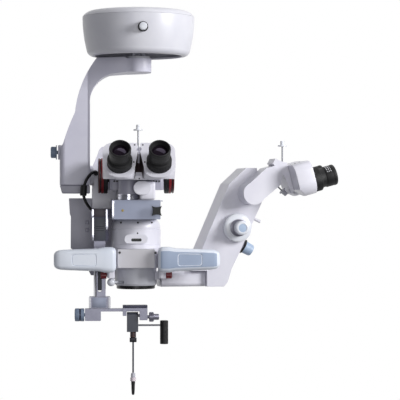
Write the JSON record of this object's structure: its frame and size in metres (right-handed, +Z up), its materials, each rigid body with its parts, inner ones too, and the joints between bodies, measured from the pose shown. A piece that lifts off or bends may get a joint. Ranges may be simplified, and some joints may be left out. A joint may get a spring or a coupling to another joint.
{
  "type": "surgical microscope",
  "caption": "Ceiling-drum surgical microscope with a curved arm, tilting zoom body, paired oculars, grip handles, assistant scope and flip-in lens arm.",
  "frame": {"origin": "centre of the drum's top mounting face", "axes": "+Z up out of the mounting face, +X to the surgeon's right, -Y towards the surgeon"},
  "size_m": [0.4861, 0.3024, 0.6501],
  "materials": {
    "steel": "brushed",
    "aluminium": "satin",
    "white_paint": "satin enamel",
    "grey_paint": "satin enamel",
    "silver_metal": "satin",
    "slate_metal": "anodised",
    "black_metal": "black anodised",
    "black_plastic": "moulded",
    "black_rubber": "matt",
    "slate_plastic": "knurled",
    "blue_plastic": "translucent silicone",
    "white_plastic": "glossy",
    "red_plastic": "glossy"
  },
  "bodies": {
    "ceiling_unit": {"mount_plate": "steel", "drum_lid": "white_paint", "drum_shell": "white_paint", "slide_frame": "steel"},
    "drum_dial": {"drum_knob": "black_plastic"},
    "cross": {"cross_carriage": "aluminium"},
    "spindle": {"spindle_carriage": "aluminium"},
    "arm": {"suspension_arm": "white_paint", "arm_end_cap": "grey_paint"},
    "tilt_dial": {"tilt_knob": "slate_plastic"},
    "focus_unit": {"focus_housing": "white_paint", "rear_housing": "grey_paint", "cable": "black_rubber", "cable_fittings": "black_plastic"},
    "scope": {"zoom_body": "white_paint", "zoom_window": "black_plastic", "lower_body": "white_paint", "front_plate": "white_paint", "body_screws": "steel", "objective_housing": "grey_paint", "objective_ring": "black_metal", "left_handle": "blue_plastic", "right_handle": "blue_plastic", "beam_splitter": "grey_paint", "inverter": "white_paint", "filter_box": "silver_metal", "binocular_base": "white_paint", "lens_bracket": "slate_metal"},
    "left_clamp": {"left_clamp_knob": "red_plastic"},
    "right_clamp": {"right_clamp_knob": "red_plastic"},
    "slot_lever": {"ball_lever": "white_plastic"},
    "invert_dial": {"inverter_lever": "black_plastic"},
    "star_dial": {"star_knob": "slate_plastic"},
    "left_wheel": {"left_filter_wheel": "black_plastic"},
    "right_wheel": {"right_filter_wheel": "black_plastic"},
    "left_eye_arm": {"left_ocular": "white_paint"},
    "right_eye_arm": {"right_ocular": "white_paint"},
    "left_eye": {"left_eyepiece": "black_rubber"},
    "right_eye": {"right_eyepiece": "black_rubber"},
    "spread_dial": {"pd_knob": "white_plastic"},
    "assistant": {"assistant_base": "white_paint", "assistant_body": "white_paint"},
    "assistant_focus": {"assistant_focus_knob": "blue_plastic"},
    "assistant_light": {"assistant_light_knob": "blue_plastic"},
    "turret": {"prism_turret": "white_paint"},
    "rotator_dial": {"rotator_knob": "white_plastic"},
    "assistant_binocular": {"assistant_head": "white_paint"},
    "near_eye_arm": {"near_ocular": "white_paint"},
    "far_eye_arm": {"far_ocular": "white_paint"},
    "near_eye": {"near_eyepiece": "black_rubber"},
    "far_eye": {"far_eyepiece": "black_rubber"},
    "assistant_spread_dial": {"assistant_pd_knob": "white_plastic"},
    "rail": {"lens_rail": "aluminium"},
    "lens_arm": {"cross_arm": "aluminium"},
    "lens_drive": {"lens_drive_knob": "slate_plastic"},
    "carriage": {"lens_carriage": "aluminium"},
    "carriage_clamp": {"cross_arm_knob": "slate_plastic"},
    "lens_swing": {"swing_block": "steel", "swing_handle": "black_plastic", "lens_holder": "white_plastic"}
  },
  "joints": [
    {"name": "drum_knob_turn", "type": "hinge", "parent": "ceiling_unit", "child": "drum_dial", "pos_m": [0.004, -0.095, -0.034], "axis": [0, 1, 0], "range_deg": [-150, 150]},
    {"name": "cross_travel_x", "type": "slide", "parent": "ceiling_unit", "child": "cross", "axis": [1, 0, 0], "range_m": [-0.02, 0.02]},
    {"name": "cross_travel_y", "type": "slide", "parent": "cross", "child": "spindle", "axis": [0, 1, 0], "range_m": [-0.02, 0.02]},
    {"name": "arm_swivel", "type": "hinge", "parent": "spindle", "child": "arm", "pos_m": [0, 0, -0.09], "axis": [0, 0, 1], "range_deg": [-170, 170]},
    {"name": "tilt", "type": "hinge", "parent": "arm", "child": "focus_unit", "pos_m": [-0.082, 0.04, -0.278], "axis": [1, 0, 0], "range_deg": [-15, 15]},
    {"name": "tilt_knob_turn", "type": "hinge", "parent": "arm", "child": "tilt_dial", "pos_m": [-0.137, 0.04, -0.2383], "axis": [1, 0, 0], "range_deg": [-180, 180]},
    {"name": "focus_travel", "type": "slide", "parent": "focus_unit", "child": "scope", "axis": [0, 0, 1], "range_m": [-0.02, 0.02]},
    {"name": "left_clamp_turn", "type": "hinge", "parent": "scope", "child": "left_clamp", "pos_m": [-0.0535, -0.026, -0.4468], "axis": [1, 0, 0], "range_deg": [-150, 150]},
    {"name": "right_clamp_turn", "type": "hinge", "parent": "scope", "child": "right_clamp", "pos_m": [0.0445, -0.026, -0.4468], "axis": [1, 0, 0], "range_deg": [-150, 150]},
    {"name": "ball_lever_swing", "type": "hinge", "parent": "scope", "child": "slot_lever", "pos_m": [-0.0045, 0, -0.4586], "axis": [0, 0, 1], "range_deg": [0, 14]},
    {"name": "inverter_turn", "type": "hinge", "parent": "scope", "child": "invert_dial", "pos_m": [0.006, -0.088, -0.3], "axis": [0, 1, 0], "range_deg": [-90, 0]},
    {"name": "star_knob_turn", "type": "hinge", "parent": "scope", "child": "star_dial", "pos_m": [0.027, -0.078, -0.338], "axis": [0, 1, 0], "range_deg": [-150, 150]},
    {"name": "left_filter_turn", "type": "hinge", "parent": "scope", "child": "left_wheel", "pos_m": [-0.0525, -0.008, -0.279], "axis": [1, 0, 0], "range_deg": [-90, 90]},
    {"name": "right_filter_turn", "type": "hinge", "parent": "scope", "child": "right_wheel", "pos_m": [0.0435, -0.008, -0.279], "axis": [1, 0, 0], "range_deg": [-90, 90]},
    {"name": "left_ocular_swing", "type": "hinge", "parent": "scope", "child": "left_eye_arm", "pos_m": [-0.0045, -0.1431, -0.2371], "axis": [0, -0.788, 0.6157], "range_deg": [-11, 8]},
    {"name": "right_ocular_swing", "type": "hinge", "parent": "scope", "child": "right_eye_arm", "pos_m": [-0.0045, -0.1431, -0.2371], "axis": [0, -0.788, 0.6157], "range_deg": [-8, 11]},
    {"name": "spread_knob_turn", "type": "hinge", "parent": "scope", "child": "spread_dial", "pos_m": [-0.0045, -0.108, -0.251], "axis": [0, 0, 1], "range_deg": [-110, 110]},
    {"name": "left_eyepiece_turn", "type": "hinge", "parent": "left_eye_arm", "child": "left_eye", "pos_m": [-0.03625, -0.16268, -0.26216], "axis": [0, -0.788, 0.6157], "range_deg": [-150, 150]},
    {"name": "right_eyepiece_turn", "type": "hinge", "parent": "right_eye_arm", "child": "right_eye", "pos_m": [0.02725, -0.16268, -0.26216], "axis": [0, -0.788, 0.6157], "range_deg": [-150, 150]},
    {"name": "assistant_swing", "type": "hinge", "parent": "scope", "child": "assistant", "pos_m": [-0.0045, 0, -0.45], "axis": [0, 0, 1], "range_deg": [-3, 25]},
    {"name": "assistant_focus_turn", "type": "hinge", "parent": "assistant", "child": "assistant_focus", "pos_m": [0.16695, -0.00023, -0.3672], "axis": [0.1736, -0.9848, 0], "range_deg": [-150, 150]},
    {"name": "assistant_light_turn", "type": "hinge", "parent": "assistant", "child": "assistant_light", "pos_m": [0.17219, 0.02303, -0.395], "axis": [0.8695, 0.1533, -0.4695], "range_deg": [-135, 135]},
    {"name": "turret_tilt", "type": "hinge", "parent": "assistant", "child": "turret", "pos_m": [0.18787, 0.00315, -0.309], "axis": [0.1736, -0.9848, 0], "range_deg": [-25, 25]},
    {"name": "head_rotation", "type": "hinge", "parent": "turret", "child": "assistant_binocular", "pos_m": [0.2338, -0.00906, -0.27019], "axis": [0.7319, 0.129, 0.6691], "range_deg": [-25, 25]},
    {"name": "rotator_knob_turn", "type": "hinge", "parent": "turret", "child": "rotator_dial", "pos_m": [0.23395, -0.00903, -0.29427], "axis": [0.7319, 0.129, -0.6691], "range_deg": [-100, 100]},
    {"name": "near_ocular_swing", "type": "hinge", "parent": "assistant_binocular", "child": "near_eye_arm", "pos_m": [0.28126, -0.00069, -0.2619], "axis": [0.9513, 0.1677, 0.2588], "range_deg": [-11, 8]},
    {"name": "far_ocular_swing", "type": "hinge", "parent": "assistant_binocular", "child": "far_eye_arm", "pos_m": [0.28126, -0.00069, -0.2619], "axis": [0.9513, 0.1677, 0.2588], "range_deg": [-8, 11]},
    {"name": "assistant_spread_turn", "type": "hinge", "parent": "assistant_binocular", "child": "assistant_spread_dial", "pos_m": [0.24502, -0.00708, -0.254], "axis": [0, 0, 1], "range_deg": [-110, 110]},
    {"name": "near_eyepiece_turn", "type": "hinge", "parent": "near_eye_arm", "child": "near_eye", "pos_m": [0.2934, -0.03079, -0.28701], "axis": [0.9513, 0.1677, 0.2588], "range_deg": [-150, 150]},
    {"name": "far_eyepiece_turn", "type": "hinge", "parent": "far_eye_arm", "child": "far_eye", "pos_m": [0.28237, 0.03175, -0.28701], "axis": [0.9513, 0.1677, 0.2588], "range_deg": [-150, 150]},
    {"name": "rail_travel", "type": "slide", "parent": "scope", "child": "rail", "axis": [0, 0, 1], "range_m": [0, 0.012]},
    {"name": "fine_travel", "type": "slide", "parent": "rail", "child": "lens_arm", "axis": [0, 0, 1], "range_m": [-0.008, 0]},
    {"name": "lens_drive_turn", "type": "hinge", "parent": "lens_arm", "child": "lens_drive", "pos_m": [-0.091, -0.013, -0.514], "axis": [1, 0, 0], "range_deg": [-300, 300]},
    {"name": "carriage_travel", "type": "slide", "parent": "lens_arm", "child": "carriage", "axis": [1, 0, 0], "range_m": [-0.015, 0.008]},
    {"name": "carriage_clamp_turn", "type": "hinge", "parent": "carriage", "child": "carriage_clamp", "pos_m": [0.0145, -0.013, -0.518], "axis": [1, 0, 0], "range_deg": [-150, 150]},
    {"name": "lens_flip", "type": "hinge", "parent": "carriage", "child": "lens_swing", "pos_m": [-0.009, -0.013, -0.5156], "axis": [1, 0, 0], "range_deg": [-95, 0]}
  ],
  "couplings": [
    {"joint": "tilt_knob_turn", "follows": "tilt", "ratio": 12},
    {"joint": "right_ocular_swing", "follows": "left_ocular_swing", "ratio": -1},
    {"joint": "spread_knob_turn", "follows": "left_ocular_swing", "ratio": 10},
    {"joint": "far_ocular_swing", "follows": "near_ocular_swing", "ratio": -1},
    {"joint": "assistant_spread_turn", "follows": "near_ocular_swing", "ratio": 10},
    {"joint": "rotator_knob_turn", "follows": "head_rotation", "ratio": -4},
    {"joint": "lens_drive_turn", "follows": "fine_travel", "rad_per_m": -640}
  ]
}
